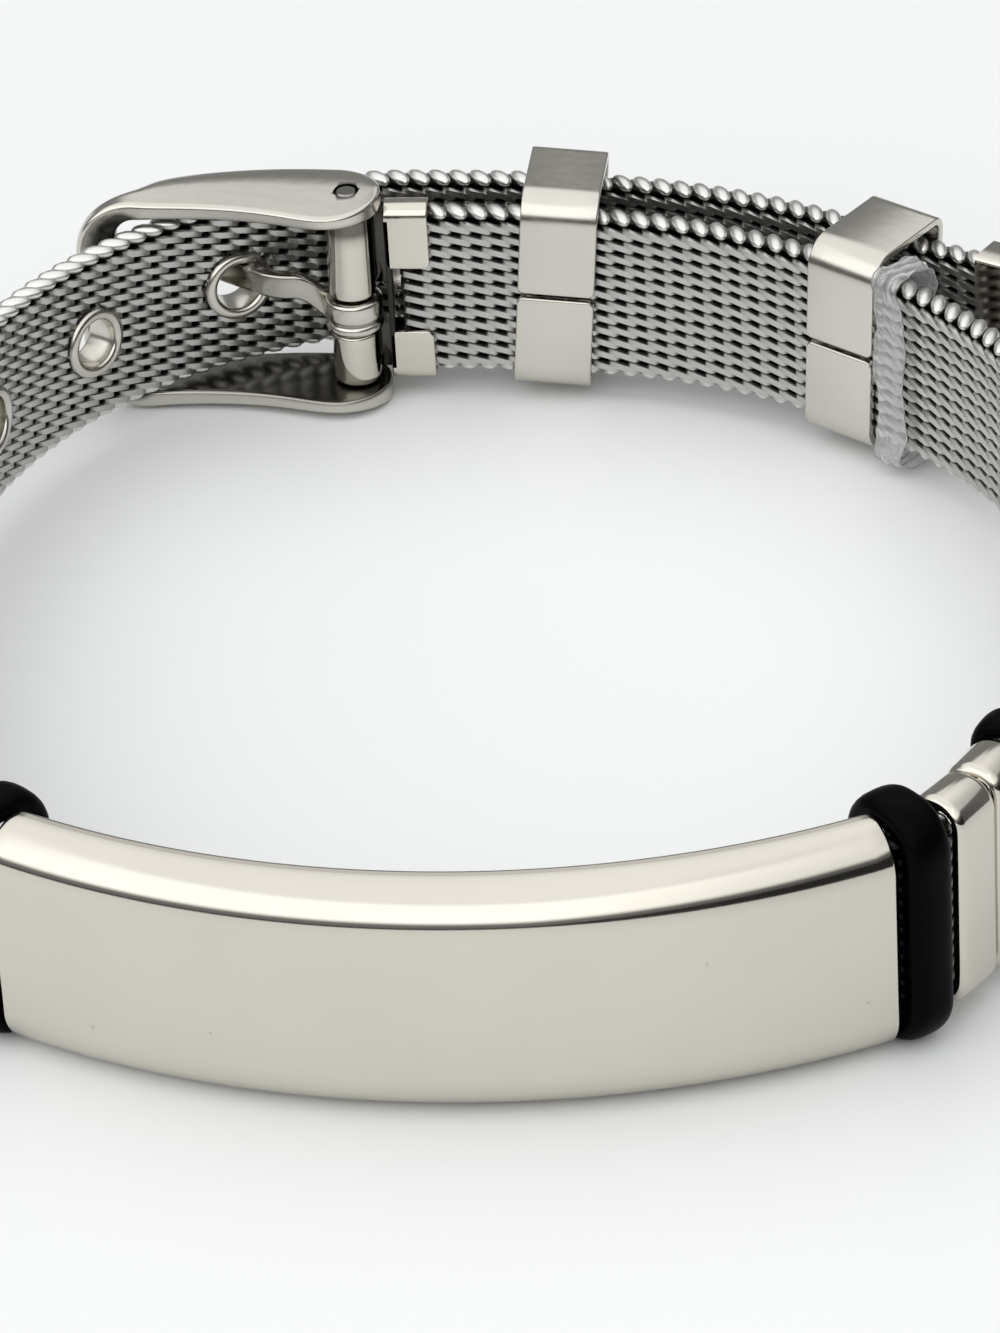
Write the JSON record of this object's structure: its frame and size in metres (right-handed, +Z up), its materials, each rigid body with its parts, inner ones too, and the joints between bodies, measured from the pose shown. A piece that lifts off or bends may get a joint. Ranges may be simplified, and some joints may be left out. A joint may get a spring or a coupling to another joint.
{
  "type": "mesh identity bracelet with silicone rings",
  "caption": "Woven steel mesh bracelet with a curved polished plate, black silicone rings, slide beads, sliding keepers and a fastened pin buckle, lying on its edge.",
  "frame": {"origin": "middle of the loop's bounding box in plan, on the surface it lies on", "axes": "+Z up, across the band's width; the plate is on the -Y side and the buckle on the +Y side; +X to the right as seen from the plate"},
  "size_m": [0.0621, 0.0734, 0.013],
  "materials": {
    "mesh_steel": "woven steel wire, satin",
    "polished_steel": "polished stainless steel",
    "satin_steel": "satin warm grey steel",
    "black_silicone": "smooth black silicone",
    "clear_plastic": "thin creased clear plastic"
  },
  "bodies": {
    "root": {"mesh_band": "mesh_steel", "id_plate": "polished_steel", "silicone_ring_1": "black_silicone", "silicone_ring_2": "black_silicone", "silicone_ring_3": "black_silicone", "silicone_ring_4": "black_silicone", "bead_1": "polished_steel", "bead_2": "polished_steel", "bead_3": "polished_steel", "bead_4": "polished_steel", "keeper_1": "satin_steel", "keeper_2": "satin_steel", "strap_clamp": "polished_steel", "axle": "satin_steel", "tongue": "satin_steel", "buckle_frame": "satin_steel", "eyelet_1": "polished_steel", "eyelet_2": "polished_steel", "eyelet_3": "polished_steel", "eyelet_4": "polished_steel", "band_tip": "polished_steel", "clear_tie": "clear_plastic"}
  },
  "joints": []
}
